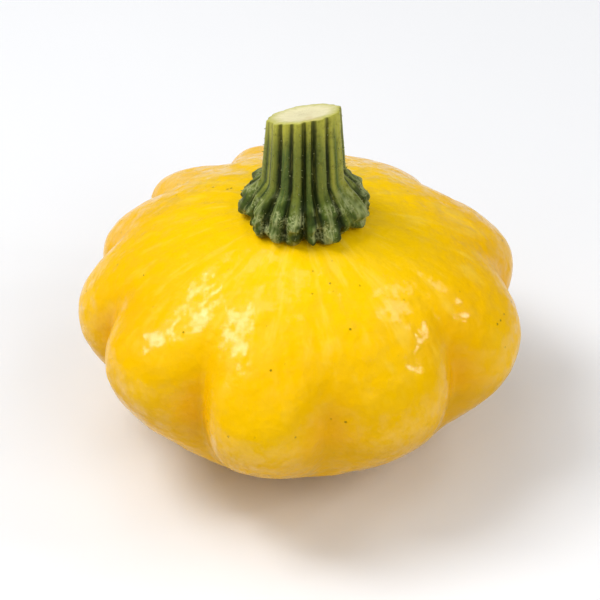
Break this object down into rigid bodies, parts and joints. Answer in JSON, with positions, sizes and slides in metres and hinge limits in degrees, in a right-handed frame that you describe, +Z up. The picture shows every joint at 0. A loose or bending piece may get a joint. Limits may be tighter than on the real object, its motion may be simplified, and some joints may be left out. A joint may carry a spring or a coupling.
{
  "type": "pattypan squash",
  "caption": "Whole yellow pattypan squash: a flattened fruit with a scalloped rim and a short ribbed green stem cut at a slant, standing on its blossom end as food, produce or decoration.",
  "frame": {"origin": "middle of the flat blossom scar that the squash stands on, at the height of the surface", "axes": "+Z up along the fruit's axis and the stem, -Y towards the front, +X to the right seen from the front"},
  "size_m": [0.0891, 0.092, 0.0804],
  "materials": {
    "skin": "waxy, semi-gloss yellow rind with fine pores; tan, corky blossom scar underneath",
    "stem": "matte, fibrous green stem with pale ribs, dark grooves and a pale cut face"
  },
  "bodies": {
    "root": {"fruit": "skin", "stem": "stem"}
  },
  "joints": []
}
